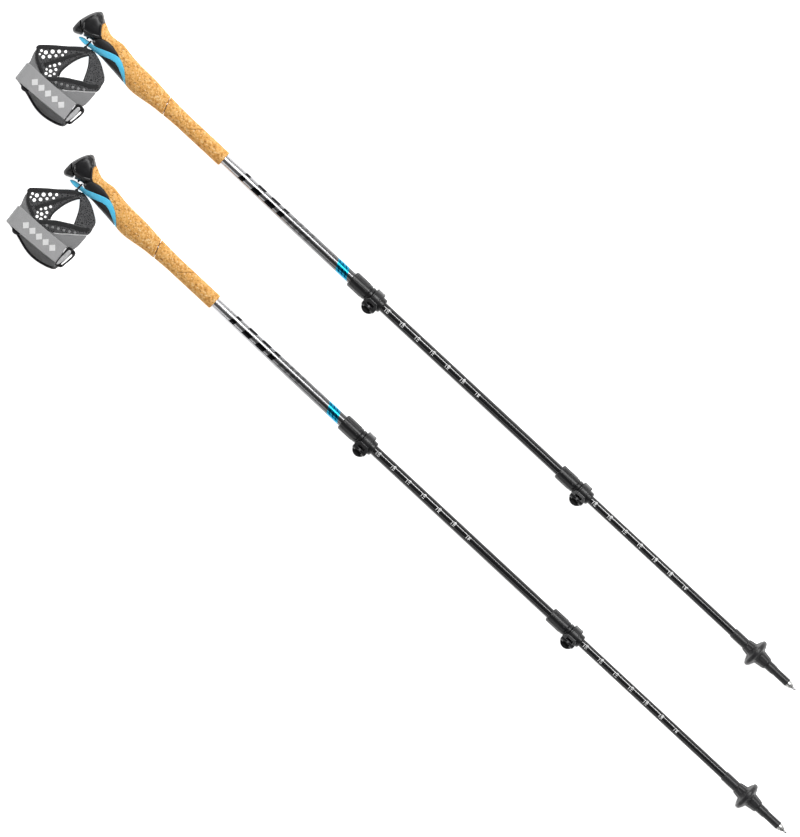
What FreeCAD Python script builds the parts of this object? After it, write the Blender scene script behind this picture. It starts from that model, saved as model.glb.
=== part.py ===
import FreeCAD, Part
import math
import os

from FreeCAD import Vector

# A pair of three-section trekking poles lying on a floor, in millimetres.
# Each pole is drawn in its own frame: x runs along the pole from the top of the grip (0) to the tip,
# +y is the side away from the wrist strap, and z is up from the pole's axis.

# ---- driving sizes -------------------------------------------------------------------------------------
POLE_LENGTH = 1250.0
PAIR_STEP = (115.7, -141.4)         # from the first pole to the second, along and across
POLES = ("pole1", "pole2")

HEAD_DEPTH = 39.0                   # the grip head through its thickness, which is what rests on the floor
BASKET_D = 39.0

UPPER_D = 15.5                      # outside diameters of the three tubes
MIDDLE_D = 13.5
LOWER_D = 11.5
TUBE_WALL = 0.65
UPPER_START = 44.0                  # where each tube begins, from the top of the grip
MIDDLE_START = 360.0
LOWER_START = 640.0

UPPER_LOCK_X = 478.0                # upper edge of each lock's collar
LOWER_LOCK_X = 839.0
COLLAR_LENGTH = 26.5
COLLAR_WALL = 2.9
LOCK_LENGTH = 54.0

SLEEVE_END = 255.5                  # end of the cork
SEAM_X = 155.5                      # where the cork grip meets the cork sleeve
SEAM_SLANT = 3.8                    # the seam leans by this much each side of the axis
CORE_WALL = 1.9                     # plastic between the tube and the cork grip
SLEEVE_D = 21.2

FERRULE_START = POLE_LENGTH - 108.4
BASKET_X = POLE_LENGTH - 70.5       # the disc's upper face
TIP_D = 10.8                        # the plain end that rubber feet slide on
TIP_PLAIN = 20.0
CARBIDE_D = 3.4

# ---- clearances ------------------------------------------------------------------------------------------
RUNNING = 0.08                      # radial gap between a shaft and its hole
APART = 0.3                         # gap between faces of pieces that move past each other

# ---- grip ------------------------------------------------------------------------------------------------
NECK = (28.6, -9.9)                 # where the strap's loop sits on the hook
NECK_R = 3.2
LOOP_WIRE_D = 2.4
PIN = (32.6, -2.8)                  # the latch's pin
PIN_D = 2.6
PIN_LENGTH = 29.6
LATCH_HALF = 2.0
PLUNGER_Z = (2.6, 5.2)
BUTTON_TRAVEL = 1.5
SEAM_GAP = 1.3                     # between the release button and the head
GUIDE_REACH = 2.2                   # of the button's guide tongue beyond the seam, along and across
CAVITY_ROOM = 0.4

# x, lowest y, highest y, half thickness
HEAD_STATIONS = (
    (0.0, -9.1, 6.1, 10.0),
    (2.5, -11.3, 15.0, 14.0),
    (6.0, -11.6, 23.4, 17.4),
    (10.0, -9.8, 29.4, HEAD_DEPTH / 2 - 0.3),
    (14.0, -7.9, 31.9, HEAD_DEPTH / 2),
    (20.4, -5.4, 28.6, 18.7),
    (27.0, -3.6, 24.6, 17.2),
    (33.0, -1.0, 21.8, 15.8),
    (40.0, 3.0, 18.8, 14.6),
)
GRIP_STATIONS = (
    (22.0, -12.6, 28.0, 17.8),
    (28.0, -12.8, 24.2, 16.6),
    (35.0, -12.6, 20.8, 15.2),
    (43.0, -12.1, 18.2, 14.2),
    (51.0, -11.6, 18.4, 13.7),
    (61.0, -12.5, 19.8, 13.7),
    (74.0, -13.6, 18.0, 14.3),
    (87.0, -15.0, 16.1, 15.0),
    (98.0, -16.2, 15.4, 15.3),
    (108.0, -17.2, 15.1, 15.2),
    (118.0, -16.6, 14.9, 14.7),
    (130.0, -14.9, 14.2, 13.5),
    (145.0, -12.9, 12.7, 12.3),
    (165.0, -11.7, 11.7, 11.7),
)
HEAD_ROUNDNESS = 2.9                # exponent of the cross-sections: 2 is an ellipse, more is squarer
GRIP_ROUNDNESS = 2.3
SECTION_POINTS = 24
GRIP_SPACING = 7.0                  # between the grip's cross-sections

# ---- strap -----------------------------------------------------------------------------------------------
STRAP_THICK = 3.0
BAND_Z = 3.0                        # underside of the near side of the wrist band
BAND_THICK = 2.5
AXIS_HEIGHT = BASKET_D / 2


def cylinder_x(x0, x1, radius):
    return Part.makeCylinder(radius, x1 - x0, Vector(x0, 0, 0), Vector(1, 0, 0))


def cylinder_z(x, y, z0, z1, radius):
    return Part.makeCylinder(radius, z1 - z0, Vector(x, y, z0), Vector(0, 0, 1))


def pipe_x(x0, x1, outer, inner):
    return cylinder_x(x0, x1, outer).cut(cylinder_x(x0, x1, inner))


def prism(outline, z0, z1):
    """A flat outline in x and y, thickened from z0 to z1."""
    points = [Vector(x, y, z0) for x, y in outline]
    face = Part.Face(Part.makePolygon(points + points[:1]))
    return face.extrude(Vector(0, 0, z1 - z0))


def bar_x(outline, x0, x1):
    """A flat outline in y and z, thickened from x0 to x1."""
    points = [Vector(x0, y, z) for y, z in outline]
    face = Part.Face(Part.makePolygon(points + points[:1]))
    return face.extrude(Vector(x1 - x0, 0, 0))


def turned(profile):
    """A profile of x and radius, closed along the axis and turned about it."""
    points = [Vector(x, 0, r) for x, r in profile]
    first = Vector(profile[0][0], 0, 0)
    last = Vector(profile[-1][0], 0, 0)
    chain = [first] + [p for p in points if p.z > 0] + [last]
    face = Part.Face(Part.makePolygon(chain + [first]))
    return face.revolve(Vector(0, 0, 0), Vector(1, 0, 0), 360)


def section(station, roundness):
    x, low, high, half = station
    middle = (low + high) / 2
    reach = (high - low) / 2
    points = []
    for i in range(SECTION_POINTS):
        angle = 2 * math.pi * i / SECTION_POINTS
        c = math.cos(angle)
        s = math.sin(angle)
        y = middle + reach * math.copysign(abs(c) ** (2 / roundness), c)
        z = half * math.copysign(abs(s) ** (2 / roundness), s)
        points.append(Vector(x, y, z))
    curve = Part.BSplineCurve()
    curve.interpolate(Points=points, PeriodicFlag=True)
    return Part.Wire([curve.toShape()])


def slope_at(stations, i, k):
    """The slope of column k at station i, from its neighbours."""
    before = stations[max(i - 1, 0)]
    after = stations[min(i + 1, len(stations) - 1)]
    return (after[k] - before[k]) / (after[0] - before[0])


def station_at(stations, x):
    """A station at x on a smooth curve through the given ones."""
    i = max(j for j in range(len(stations) - 1) if stations[j][0] <= x + 1e-9)
    a = stations[i]
    b = stations[i + 1]
    span = b[0] - a[0]
    t = (x - a[0]) / span
    values = [x]
    for k in (1, 2, 3):
        start = slope_at(stations, i, k) * span
        end = slope_at(stations, i + 1, k) * span
        values.append((2 * t**3 - 3 * t**2 + 1) * a[k] + (t**3 - 2 * t**2 + t) * start
                      + (3 * t**2 - 2 * t**3) * b[k] + (t**3 - t**2) * end)
    return values


def evenly_spaced(stations, spacing):
    first = stations[0][0]
    length = stations[-1][0] - first
    count = math.ceil(length / spacing)
    return [station_at(stations, first + length * i / count) for i in range(count + 1)]


def lofted(stations, roundness):
    return Part.makeLoft([section(s, roundness) for s in stations], True, False)


# ---- the grip's dividing lines, in x and y ------------------------------------------------------------------
WIDE = 60.0
HEAD_LOWER = [(13.4, -7.7), (21.0, -5.0), (29.6, -2.7)]
CORK_FRONT = [(27.5, 40.0), (26.0, 24.5), (25.5, 19.3), (30.0, 13.3), (34.4, 8.1), (37.8, 6.4)]
CORE_TOP = [(46.9, 8.9), (55.0, 8.6), (64.2, 6.2)]
BAND_UPPER = [(40.0, -6.1), (55.0, 0.1), (64.0, 3.0), (69.8, 3.9), (77.3, 1.3), (85.2, -3.1), (98.7, -15.7)]
BAND_LOWER = [(97.4, -17.0), (90.0, -12.4), (77.4, -6.3), (70.2, -4.4), (64.0, -5.4), (47.8, -11.0)]
BUTTON_END = 13.9
BUTTON_SEAM = [(-2.0, 6.0), (1.1, 4.3), (7.4, -1.5), (BUTTON_END, -4.1)]


def head_region():
    return prism([(-5, 40)] + CORK_FRONT + [HEAD_LOWER[2], HEAD_LOWER[1], HEAD_LOWER[0], (6.7, -14), (-5, -14)],
                 -WIDE, WIDE)


def button_region():
    return prism(BUTTON_SEAM + [(BUTTON_END, -9.0), (6.7, -14), (-2, -14)], -WIDE, WIDE)


def core_region():
    upper = [(30.9, -5.2), (29.9, -2.4)] + CORK_FRONT[-1:] + CORE_TOP + BAND_UPPER[3::-1] + [(35.6, -6.9)]
    lower = BAND_LOWER[::-1] + [(97.4, -30), (47.8, -30)]
    return prism(upper, -WIDE, WIDE), prism(lower, -WIDE, WIDE)


def hook_region():
    root = [(NECK[0] + 1.8, -30), (NECK[0] + 1.8, -7.1), (35.6, -6.9)]
    return prism(root + BAND_UPPER + BAND_LOWER + [(47.8, -30)], -WIDE, WIDE)


def seam_edge():
    slope = SEAM_SLANT / SLEEVE_D * 2
    return [(SEAM_X - slope * WIDE / 2, WIDE / 2), (SEAM_X + slope * WIDE / 2, -WIDE / 2)]


def cork_region():
    above = CORK_FRONT + CORE_TOP + BAND_UPPER[3:] + [(97.4, -WIDE / 2)]
    return prism(above + seam_edge()[::-1] + [(27.5, WIDE / 2)], -WIDE, WIDE)


def latch_cavity():
    slot = prism([(17.5, -9.5), (17.5, 0.5), (25.5, 4.6), (30.0, 5.8), (36.6, 5.8), (38.2, -1.0),
                  (36.2, -6.2), (30.4, -6.4)], -LATCH_HALF - CAVITY_ROOM, LATCH_HALF + CAVITY_ROOM)
    tail = prism([(29.5, -6.2), (29.5, 5.8), (36.6, 5.8), (38.2, -1.0), (36.2, -6.2)],
                 0, PLUNGER_Z[1] + CAVITY_ROOM)
    spring = cylinder_z(PIN[0], PIN[1], -PLUNGER_Z[1] - CAVITY_ROOM, 0, PIN_D / 2 + 2.2)
    return slot.fuse(tail).fuse(spring)


def plunger_outline(room, travel):
    """The push rod from the button to the latch's tail, or with room and travel the slot that it runs in."""
    ahead = travel + room
    end = PIN[0] - 1.5
    return [(6 - room, -4 - room), (13.5 + ahead, -4 - room), (22 + ahead, 1.9 - room),
            (end + ahead, 2.4 - room), (end + ahead, 3.6 + room), (14, 3.6 + room), (6 - room, -1 + room)]


def guide_tongue(room, travel):
    """A plate on the button that closes the seam, or with room and travel the slot in the head it runs in."""
    far = [(x + GUIDE_REACH + room, y + GUIDE_REACH + room) for x, y in BUTTON_SEAM[:3]]
    far = [(far[0][0] - 2 * room, far[0][1])] + [(x + travel, y) for x, y in far]
    return far + [(14.0 + travel, 3.2), (8.4, -2.2), (1.4, 4.0), (0.0, 5.0)]


def head_shell():
    shell = lofted(HEAD_STATIONS, HEAD_ROUNDNESS).common(head_region())
    far_side = BUTTON_END + BUTTON_TRAVEL + 1.0
    recess = prism([(x + SEAM_GAP * 0.6, y + SEAM_GAP * 0.8) for x, y in BUTTON_SEAM]
                   + [(far_side, -4.4), (far_side, -9.0), (6.7, -16), (-4, -16)], -WIDE, WIDE)
    plunger = prism(plunger_outline(CAVITY_ROOM, BUTTON_TRAVEL),
                    PLUNGER_Z[0] - CAVITY_ROOM, PLUNGER_Z[1] + CAVITY_ROOM)
    slot = prism(guide_tongue(CAVITY_ROOM, BUTTON_TRAVEL),
                 PLUNGER_Z[0] - CAVITY_ROOM, PLUNGER_Z[1] + CAVITY_ROOM)
    return shell.cut(recess).cut(latch_cavity()).cut(plunger).cut(slot).cut(pin_hole())


def pin_hole():
    return cylinder_z(PIN[0], PIN[1], -PIN_LENGTH / 2, PIN_LENGTH / 2, PIN_D / 2)


def release_button():
    nose = lofted(HEAD_STATIONS, HEAD_ROUNDNESS).common(head_region()).common(button_region())
    rod = prism(plunger_outline(0, 0), *PLUNGER_Z)
    tongue = prism(guide_tongue(0, 0), *PLUNGER_Z).common(lofted(HEAD_STATIONS, HEAD_ROUNDNESS))
    return nose.fuse(rod).fuse(tongue).removeSplitter()


def latch():
    boss = cylinder_z(PIN[0], PIN[1], -LATCH_HALF, LATCH_HALF, PIN_D / 2 + 1.2)
    arm = prism([(20.5, -0.6), (PIN[0], -0.4), (PIN[0], -3.4), (24.0, -3.4), (23.6, -6.8), (21.4, -6.5)],
                -LATCH_HALF, LATCH_HALF)
    tail = prism([(PIN[0] - 1.2, PIN[1]), (PIN[0] - 1.2, 4.6), (PIN[0] + 1.2, 4.6), (PIN[0] + 1.2, PIN[1])],
                 -LATCH_HALF, PLUNGER_Z[1])
    hole = cylinder_z(PIN[0], PIN[1], -WIDE, WIDE, PIN_D / 2 + RUNNING)
    return boss.fuse(arm).fuse(tail).removeSplitter().cut(hole)


def latch_pin():
    return cylinder_z(PIN[0], PIN[1], -PIN_LENGTH / 2, PIN_LENGTH / 2, PIN_D / 2)


def latch_spring():
    wire = 0.6
    radius = PIN_D / 2 + 0.9
    turns = 3
    pitch = 0.8
    path = Part.makeHelix(pitch, pitch * turns, radius)
    ring = Part.Wire([Part.makeCircle(wire / 2, Vector(radius, 0, 0), Vector(0, 1, pitch / radius / 2 / math.pi))])
    coil = Part.Wire(path.Edges).makePipeShell([ring], True, True)
    return coil.translated(Vector(PIN[0], PIN[1], -PLUNGER_Z[1] + 0.1))


def grip_envelope():
    return lofted(evenly_spaced(GRIP_STATIONS, GRIP_SPACING), GRIP_ROUNDNESS)


def core_radius():
    return UPPER_D / 2 + CORE_WALL


def grip_core():
    upper, lower = core_region()
    envelope = grip_envelope()
    cladding = envelope.common(upper).fuse(envelope.common(lower))
    sleeve = cylinder_x(UPPER_START - 2.0, SEAM_X - 6.0, core_radius())
    body = cladding.fuse(sleeve).removeSplitter()
    return body.cut(cylinder_x(UPPER_START, SLEEVE_END, UPPER_D / 2)).cut(latch_cavity()).cut(pin_hole())


def hook():
    band = grip_envelope().common(hook_region())
    band = band.cut(cylinder_x(UPPER_START - 2.0, SEAM_X, core_radius()))
    neck = Part.makeCylinder(NECK_R, 6.0, Vector(NECK[0] - 2.5, NECK[1], 0), Vector(1, 0, 0))
    horn = prism([(13.9, -12.3), (14.0, -11.0), (15.2, -9.9), (16.6, -9.1), (20.0, -7.9), (26.4, -7.0),
                  (26.9, -8.3), (26.9, -13.0), (25.5, -13.9), (20.0, -13.7), (15.4, -12.9)], -NECK_R, NECK_R)
    horn = horn.makeFillet(1.0, [e for e in horn.Edges if abs(e.Vertexes[0].Z - e.Vertexes[-1].Z) < 1e-6])
    return band.fuse(neck).fuse(horn).removeSplitter()


def cork_grip():
    body = grip_envelope().common(cork_region())
    return body.cut(cylinder_x(UPPER_START - 2.0, SEAM_X - 6.0, core_radius())).cut(
        cylinder_x(SEAM_X - 6.0, SLEEVE_END, UPPER_D / 2))


def cork_sleeve():
    r = SLEEVE_D / 2
    outer = turned([(SEAM_X - 12, r + 2.3), (SEAM_X, r + 1.5), (SEAM_X + 12, r + 0.7), (SEAM_X + 28, r + 0.1),
                    (SLEEVE_END - 1.2, r), (SLEEVE_END, r - 1.0)])
    edge = seam_edge()
    beyond = prism(edge + [(SLEEVE_END + WIDE, -WIDE / 2), (SLEEVE_END + WIDE, WIDE / 2)], -WIDE, WIDE)
    return outer.common(beyond).cut(cylinder_x(0, SLEEVE_END + 1, UPPER_D / 2))


# ---- tubes and guides ----------------------------------------------------------------------------------------

def tube(start, end, diameter):
    return pipe_x(start, end, diameter / 2, diameter / 2 - TUBE_WALL)


def guide_bush(start, outer_bore, inner_bore):
    """The guide at a tube's inner end: it slides in the outer tube, and its spigot sits in the inner one."""
    head = cylinder_x(start - 8.0, start - 0.2, outer_bore / 2 - RUNNING)
    spigot = cylinder_x(start - 1.0, start + 12.0, inner_bore / 2 - RUNNING)
    return head.fuse(spigot).removeSplitter().cut(cylinder_x(start - 9.0, start + 13.0, inner_bore / 2 - 2.6))


# ---- lever locks ---------------------------------------------------------------------------------------------
EAR_R = 9.7
EAR_Z = (0.8, 4.2)
SCREW_D = 3.0
BARREL_D = 5.0
HUB_R = 4.0
BARREL_Z = EAR_Z[1] + 0.2 + HUB_R
LEVER_THICK = 2.0
LEVER_WIDTH = 20.4
BAND_START = 34.2                   # the lever's narrow band, from the collar's upper edge
BAND_END = 47.2
EAR_COVER_R = 10.4                  # the lever's round end over the ear
RING_PROUD = 0.7                    # of the clamp's ring beside the lever's band
SCREW_HEAD_D = 5.6
SCREW_HEAD_THICK = 3.6
SCREW_PROUD = 0.8                   # of the screw's end, beyond the barrel


def lock_sizes(x0, outer_d):
    """Places shared by a lock's pieces: the ear's centre, and the clamp's radius under the lever."""
    clamp_r = outer_d / 2 + COLLAR_WALL - 0.5
    return {"x": x0 + 40.4, "y": -(clamp_r + 1.7), "r": clamp_r}


def lock_body(x0, outer_d, inner_d):
    at = lock_sizes(x0, outer_d)
    r = at["r"]
    collar = turned([(x0, r - 0.6), (x0 + 0.8, r + 0.5), (x0 + COLLAR_LENGTH + 1.4, r + 0.5),
                     (x0 + COLLAR_LENGTH + 1.8, r - 0.6), (x0 + COLLAR_LENGTH + 2.6, r - 0.6),
                     (x0 + COLLAR_LENGTH + 3.0, r + RING_PROUD), (x0 + BAND_START - 1.2, r + RING_PROUD),
                     (x0 + BAND_START - 0.8, r), (x0 + BAND_END + 0.6, r), (x0 + BAND_END + 0.9, r - 0.2),
                     (x0 + LOCK_LENGTH - 1.6, r - 0.2), (x0 + LOCK_LENGTH, r - 1.4)])
    for side in (-1, 0, 1):
        angle = math.radians(90 + 42 * side)
        groove = Part.makeBox(COLLAR_LENGTH - 5, 1.2, 1.2, Vector(x0 + 3, -0.6, r - 0.1))
        groove.rotate(Vector(0, 0, 0), Vector(1, 0, 0), math.degrees(angle) - 90)
        collar = collar.cut(groove)
    collar = collar.cut(Part.makeCylinder(HUB_R + APART, LEVER_WIDTH + 2 * APART,
                                          Vector(at["x"] - LEVER_WIDTH / 2 - APART, at["y"], BARREL_Z),
                                          Vector(1, 0, 0)))
    ear = cylinder_z(at["x"], at["y"], -EAR_Z[1], EAR_Z[1], EAR_R)
    web = prism([(at["x"] - EAR_R, at["y"]), (at["x"] - EAR_R - 0.4, -r + 2), (at["x"] + EAR_R + 0.4, -r + 2),
                 (at["x"] + EAR_R, at["y"])], -EAR_Z[1], EAR_Z[1])
    body = collar.fuse(ear).fuse(web).removeSplitter()
    slit = Part.makeBox(LOCK_LENGTH, 60, 2 * EAR_Z[0], Vector(x0 + COLLAR_LENGTH + 1, -60, -EAR_Z[0]))
    body = body.cut(cylinder_x(x0 - 1, x0 + COLLAR_LENGTH, outer_d / 2))
    body = body.cut(cylinder_x(x0, x0 + LOCK_LENGTH + 1, inner_d / 2 + RUNNING)).cut(slit)
    pocket = cylinder_z(at["x"], at["y"], -WIDE, -EAR_Z[1], SCREW_HEAD_D / 2 + APART)
    return body.cut(pocket).cut(cylinder_z(at["x"], at["y"], -WIDE, WIDE, SCREW_D / 2 + RUNNING))


def lock_lever(x0, outer_d):
    at = lock_sizes(x0, outer_d)
    r = at["r"] + APART
    half = LEVER_WIDTH / 2
    left = at["x"] - half
    band_left = x0 + BAND_START
    band_right = x0 + BAND_END
    band = pipe_x(band_left, band_right, r + LEVER_THICK, r)
    keep = bar_x([(-4.2, r - 2), (-4.2, 40), (40, 40), (40, -5.0), (r - 1.5, -5.0), (0, 0)],
                 band_left, band_right)
    band = band.common(keep)
    lip = bar_x([(r + 0.4, -3.4), (r + LEVER_THICK - 0.1, -2.0), (r + LEVER_THICK + 1.4, -6.4), (r + 0.6, -6.8)],
                band_left + 1, band_right - 1)
    hub_z = BARREL_Z
    hub_y = at["y"]
    top = r + LEVER_THICK
    bridge = bar_x([(hub_y, hub_z + HUB_R), (-3.4, top - 0.1), (-3.4, r + 0.02), (-5.6, r - 1.2),
                    (hub_y + 3.0, hub_z - 1.6), (hub_y, hub_z)], left, left + LEVER_WIDTH)
    bridge = bridge.cut(cylinder_x(left - 1, left + LEVER_WIDTH + 1, r))
    bridge = bridge.cut(cylinder_x(left - 1, band_left - 0.6, r + RING_PROUD))
    hub = Part.makeCylinder(HUB_R, LEVER_WIDTH, Vector(left, hub_y, hub_z), Vector(1, 0, 0))
    round_end = cylinder_z(at["x"], at["y"], -WIDE, WIDE, EAR_COVER_R)
    lever = bridge.fuse(hub).common(round_end).fuse(band).fuse(lip).removeSplitter()
    swing = math.hypot(BARREL_D / 2 + SCREW_PROUD, SCREW_D / 2) + APART
    fork = Part.makeBox(LEVER_WIDTH - 11, 14 + swing, 20, Vector(left + 5.5, hub_y - 14, hub_z - 10))
    lever = lever.cut(fork)
    return lever.cut(Part.makeCylinder(BARREL_D / 2 + RUNNING, LEVER_WIDTH + 2,
                                       Vector(left - 1, hub_y, hub_z), Vector(1, 0, 0)))


def lock_barrel(x0, outer_d):
    at = lock_sizes(x0, outer_d)
    half = LEVER_WIDTH / 2 - 0.6
    pin = Part.makeCylinder(BARREL_D / 2, 2 * half, Vector(at["x"] - half, at["y"], BARREL_Z), Vector(1, 0, 0))
    return pin.cut(cylinder_z(at["x"], at["y"], -WIDE, WIDE, SCREW_D / 2 + RUNNING))


def lock_screw(x0, outer_d):
    """The adjusting screw, with its notched head under the lower ear."""
    at = lock_sizes(x0, outer_d)
    top = -EAR_Z[1] - APART
    head = cylinder_z(at["x"], at["y"], top - SCREW_HEAD_THICK, top, SCREW_HEAD_D / 2)
    notches = 8
    for i in range(notches):
        angle = 2 * math.pi * i / notches
        head = head.cut(cylinder_z(at["x"] + SCREW_HEAD_D / 2 * math.cos(angle) * 1.06,
                                   at["y"] + SCREW_HEAD_D / 2 * math.sin(angle) * 1.06,
                                   top - SCREW_HEAD_THICK - 1, top + 1, 0.5))
    stem = cylinder_z(at["x"], at["y"], top - 1, BARREL_Z + BARREL_D / 2 + SCREW_PROUD, SCREW_D / 2)
    return head.fuse(stem).removeSplitter()


# ---- tip -----------------------------------------------------------------------------------------------------
TIP_CORE_R = 5.6


def tip_body():
    plain_end = POLE_LENGTH - 14.0
    plain_start = plain_end - TIP_PLAIN
    body = turned([(FERRULE_START, LOWER_D / 2 + 0.4), (FERRULE_START + 1.5, LOWER_D / 2 + 0.9),
                   (BASKET_X - 16.0, LOWER_D / 2 + 0.9), (BASKET_X - 16.0, TIP_CORE_R),
                   (BASKET_X + 22.5, TIP_CORE_R), (BASKET_X + 22.6, TIP_D / 2 + 0.9),
                   (plain_start - 4.0, TIP_D / 2 + 0.7), (plain_start, TIP_D / 2), (plain_end, TIP_D / 2),
                   (plain_end + 4.0, TIP_D / 2 - 0.3), (POLE_LENGTH - 5.0, CARBIDE_D / 2 + 1.2)])
    socket = cylinder_x(FERRULE_START - 1, FERRULE_START + 12, LOWER_D / 2)
    seat = cylinder_x(POLE_LENGTH - 13.0, POLE_LENGTH, CARBIDE_D / 2)
    return body.cut(socket).cut(seat)


def basket():
    rim = BASKET_D / 2
    outer = turned([(BASKET_X - 16.0, 6.8), (BASKET_X - 14.5, 8.0), (BASKET_X - 5.5, 9.6),
                    (BASKET_X - 4.9, 10.6), (BASKET_X - 1.9, rim - 1.6), (BASKET_X - 0.9, rim - 0.3),
                    (BASKET_X + 0.5, rim), (BASKET_X + 2.5, rim), (BASKET_X + 4.5, rim - 1.6),
                    (BASKET_X + 6.7, 12.6), (BASKET_X + 7.7, 10.2), (BASKET_X + 20.5, 8.1),
                    (BASKET_X + 22.5, 7.0)])
    return outer.cut(cylinder_x(BASKET_X - 17, BASKET_X + 23, TIP_CORE_R))


def carbide_tip():
    r = CARBIDE_D / 2
    tip = turned([(POLE_LENGTH - 13.0, r), (POLE_LENGTH - 1.2, r), (POLE_LENGTH, r - 0.5)])
    return tip.cut(Part.makeSphere(r - 0.5, Vector(POLE_LENGTH + 0.4, 0, 0)))


# ---- strap ---------------------------------------------------------------------------------------------------
WING = [(30.4, -18.2), (27.4, -19.6), (-17.4, -59.2), (-13.0, -71.4), (-4.0, -84.0), (16.8, -88.0),
        (48.5, -80.5), (67.8, -77.5), (77.6, -73.7), (76.8, -49.5), (76.4, -40.6), (73.9, -30.5),
        (56.2, -19.6), (41.2, -17.8)]
THUMB = [(38.4, -25.5), (29.5, -39.2), (26.0, -57.6), (29.2, -67.4), (40.2, -59.5), (55.6, -50.3),
         (48.5, -33.6), (42.5, -26.0)]
NEAR_BAND = [(-11.3, -80.7), (-8.3, -107.4), (69.5, -102.8), (66.5, -77.2)]
FAR_BAND = [(-8.3, -88.0), (-8.3, -102.0), (8.0, -108.0), (20.7, -110.3), (32.5, -115.9), (46.2, -117.1),
            (62.4, -114.4), (74.6, -110.0), (71.0, -86.0), (40.0, -84.0)]
BUCKLE = [(70.0, -76.5), (79.4, -73.9), (84.8, -83.6), (81.8, -101.7), (72.6, -103.6)]


def strap_loop():
    ring = Part.makeTorus(NECK_R + APART + LOOP_WIRE_D / 2, LOOP_WIRE_D / 2,
                          Vector(NECK[0], NECK[1], 0), Vector(1, 0, 0))
    tab = prism([(27.6, -14.3), (29.6, -14.3), (30.4, -18.2), (27.4, -19.6)], -1.2, 1.2)
    return ring.fuse(tab).removeSplitter()


def strap_mesh():
    plate = prism(WING, -STRAP_THICK / 2, STRAP_THICK / 2)
    return plate.cut(prism(THUMB, -WIDE, WIDE))


def wrist_band():
    return prism(NEAR_BAND, BAND_Z, BAND_Z + BAND_THICK)


def cuff_back():
    floor = -AXIS_HEIGHT
    under = prism(FAR_BAND, floor, floor + STRAP_THICK)
    left = prism([(-11.0, -83.5), (-8.3, -104.0), (-5.3, -103.6), (-8.0, -83.2)], floor, BAND_Z)
    right = prism([(66.0, -79.0), (69.0, -102.8), (72.0, -103.0), (69.0, -79.0)], floor, BAND_Z)
    foot = prism([(-11.0, -83.5), (-8.3, -104.0), (-4.0, -103.6), (-4.0, -84.0)], floor, floor + STRAP_THICK)
    return under.fuse(foot).fuse(left).fuse(right).removeSplitter()


def strap_buckle():
    plate = prism(BUCKLE, BAND_Z - 1.5, BAND_Z + BAND_THICK)
    for x0, x1 in ((72.6, 75.0), (78.6, 81.0)):
        plate = plate.cut(Part.makeBox(x1 - x0, 17.0, 20.0, Vector(x0, -98.5, -5)))
    return plate


def pole_pieces():
    upper_bore = UPPER_D - 2 * TUBE_WALL
    middle_bore = MIDDLE_D - 2 * TUBE_WALL
    lower_bore = LOWER_D - 2 * TUBE_WALL
    return {
        "head_shell": head_shell(),
        "release_button": release_button(),
        "latch": latch(),
        "latch_pin": latch_pin(),
        "latch_spring": latch_spring(),
        "hook": hook(),
        "grip_core": grip_core(),
        "cork_grip": cork_grip(),
        "cork_sleeve": cork_sleeve(),
        "upper_tube": tube(UPPER_START, UPPER_LOCK_X + COLLAR_LENGTH, UPPER_D),
        "upper_lock_body": lock_body(UPPER_LOCK_X, UPPER_D, MIDDLE_D),
        "upper_lock_lever": lock_lever(UPPER_LOCK_X, UPPER_D),
        "upper_lock_barrel": lock_barrel(UPPER_LOCK_X, UPPER_D),
        "upper_lock_screw": lock_screw(UPPER_LOCK_X, UPPER_D),
        "middle_bush": guide_bush(MIDDLE_START, upper_bore, middle_bore),
        "middle_tube": tube(MIDDLE_START, LOWER_LOCK_X + COLLAR_LENGTH, MIDDLE_D),
        "lower_lock_body": lock_body(LOWER_LOCK_X, MIDDLE_D, LOWER_D),
        "lower_lock_lever": lock_lever(LOWER_LOCK_X, MIDDLE_D),
        "lower_lock_barrel": lock_barrel(LOWER_LOCK_X, MIDDLE_D),
        "lower_lock_screw": lock_screw(LOWER_LOCK_X, MIDDLE_D),
        "lower_bush": guide_bush(LOWER_START, middle_bore, lower_bore),
        "lower_tube": tube(LOWER_START, FERRULE_START + 12.0, LOWER_D),
        "tip_body": tip_body(),
        "basket": basket(),
        "carbide_tip": carbide_tip(),
        "strap_loop": strap_loop(),
        "strap_mesh": strap_mesh(),
        "wrist_band": wrist_band(),
        "cuff_back": cuff_back(),
        "strap_buckle": strap_buckle(),
    }


def pair_origin(pieces):
    """The middle of the pair's underside, in the first pole's frame."""
    low_x = min(s.BoundBox.XMin for s in pieces.values())
    high_x = max(s.BoundBox.XMax for s in pieces.values()) + PAIR_STEP[0]
    low_y = min(s.BoundBox.YMin for s in pieces.values()) + PAIR_STEP[1]
    high_y = max(s.optimalBoundingBox(True, False).YMax for s in pieces.values())
    return Vector((low_x + high_x) / 2, (low_y + high_y) / 2, -AXIS_HEIGHT)


os.makedirs("parts", exist_ok=True)
PIECES = pole_pieces()
ORIGIN = pair_origin(PIECES)
for index, pole in enumerate(POLES):
    step = Vector(PAIR_STEP[0] * index, PAIR_STEP[1] * index, 0)
    for name, shape in PIECES.items():
        shape.translated(step - ORIGIN).exportStep("parts/" + pole + "_" + name + ".step")
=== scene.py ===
import math

import bmesh
import bpy
from mathutils import Matrix, Vector, noise


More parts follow.
